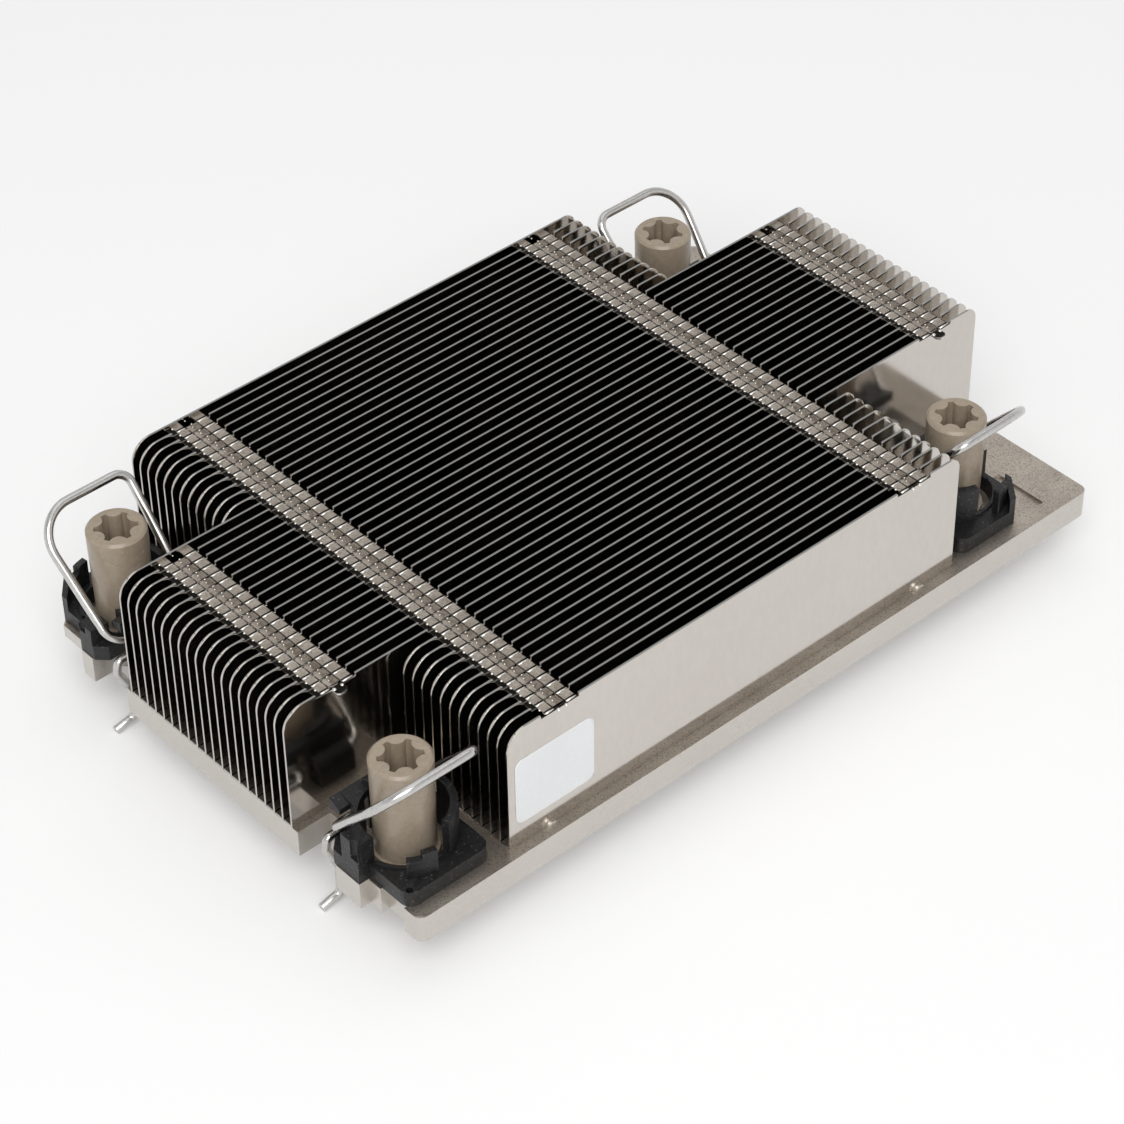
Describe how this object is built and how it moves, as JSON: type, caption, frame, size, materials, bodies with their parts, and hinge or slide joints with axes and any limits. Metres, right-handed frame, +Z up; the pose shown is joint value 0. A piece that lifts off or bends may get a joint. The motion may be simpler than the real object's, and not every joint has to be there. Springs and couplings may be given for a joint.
{
  "type": "passive server cpu heatsink",
  "caption": "Low passive heatsink for a server processor: plated base plate, interlocked folded fins, captive nuts in plastic holders and bent wire latches at the corners.",
  "frame": {"origin": "middle of the base plate's flat underside, the face that meets the processor", "axes": "+X along the fins, from the notched end to the straight end; +Y across the fins; +Z up, from the underside to the fin tops"},
  "size_m": [0.1182, 0.0766, 0.0291],
  "materials": {
    "base_plating": "satin",
    "fin_plating": "satin",
    "nut_plastic": "satin",
    "holder_plastic": "matte",
    "wire_steel": "drawn",
    "label_film": "matte"
  },
  "bodies": {
    "heatsink": {"base_plate": "base_plating", "fin_01": "fin_plating", "fin_02": "fin_plating", "fin_03": "fin_plating", "fin_04": "fin_plating", "fin_05": "fin_plating", "fin_06": "fin_plating", "fin_07": "fin_plating", "fin_08": "fin_plating", "fin_09": "fin_plating", "fin_10": "fin_plating", "fin_11": "fin_plating", "fin_12": "fin_plating", "fin_13": "fin_plating", "fin_14": "fin_plating", "fin_15": "fin_plating", "fin_16": "fin_plating", "fin_17": "fin_plating", "fin_18": "fin_plating", "fin_19": "fin_plating", "fin_20": "fin_plating", "fin_21": "fin_plating", "fin_22": "fin_plating", "fin_23": "fin_plating", "fin_24": "fin_plating", "fin_25": "fin_plating", "fin_26": "fin_plating", "fin_27": "fin_plating", "fin_28": "fin_plating", "fin_29": "fin_plating", "fin_30": "fin_plating", "fin_31": "fin_plating", "fin_32": "fin_plating", "fin_33": "fin_plating", "fin_34": "fin_plating", "fin_35": "fin_plating", "fin_36": "fin_plating", "fin_37": "fin_plating", "fin_38": "fin_plating", "fin_39": "fin_plating", "fin_40": "fin_plating", "fin_41": "fin_plating", "fin_42": "fin_plating", "fin_43": "fin_plating", "fin_44": "fin_plating", "nut_holder_left_front": "holder_plastic", "nut_holder_right_front": "holder_plastic", "nut_holder_left_back": "holder_plastic", "nut_holder_right_back": "holder_plastic", "label": "label_film"},
    "nut_left_front": {"load_nut_left_front": "nut_plastic"},
    "wire_left_front": {"latch_wire_left_front": "wire_steel"},
    "nut_right_front": {"load_nut_right_front": "nut_plastic"},
    "wire_right_front": {"latch_wire_right_front": "wire_steel"},
    "nut_left_back": {"load_nut_left_back": "nut_plastic"},
    "wire_left_back": {"latch_wire_left_back": "wire_steel"},
    "nut_right_back": {"load_nut_right_back": "nut_plastic"},
    "wire_right_back": {"latch_wire_right_back": "wire_steel"}
  },
  "joints": [
    {"name": "nut_left_front_turn", "type": "hinge", "parent": "heatsink", "child": "nut_left_front", "pos_m": [-0.051, -0.028, 0.012], "axis": [0, 0, 1], "continuous": true},
    {"name": "nut_right_front_turn", "type": "hinge", "parent": "heatsink", "child": "nut_right_front", "pos_m": [0.043, -0.028, 0.012], "axis": [0, 0, 1], "continuous": true},
    {"name": "nut_left_back_turn", "type": "hinge", "parent": "heatsink", "child": "nut_left_back", "pos_m": [-0.051, 0.028, 0.012], "axis": [0, 0, 1], "continuous": true},
    {"name": "nut_right_back_turn", "type": "hinge", "parent": "heatsink", "child": "nut_right_back", "pos_m": [0.043, 0.028, 0.012], "axis": [0, 0, 1], "continuous": true},
    {"name": "wire_left_front_swing", "type": "hinge", "parent": "heatsink", "child": "wire_left_front", "pos_m": [-0.051, -0.0211, 0.0061], "axis": [-1, 0, 0], "range_deg": [0, 22]},
    {"name": "wire_right_front_swing", "type": "hinge", "parent": "heatsink", "child": "wire_right_front", "pos_m": [0.043, -0.0211, 0.0061], "axis": [-1, 0, 0], "range_deg": [0, 22]},
    {"name": "wire_left_back_swing", "type": "hinge", "parent": "heatsink", "child": "wire_left_back", "pos_m": [-0.051, 0.0211, 0.0061], "axis": [1, 0, 0], "range_deg": [0, 22]},
    {"name": "wire_right_back_swing", "type": "hinge", "parent": "heatsink", "child": "wire_right_back", "pos_m": [0.043, 0.0211, 0.0061], "axis": [1, 0, 0], "range_deg": [0, 22]}
  ]
}
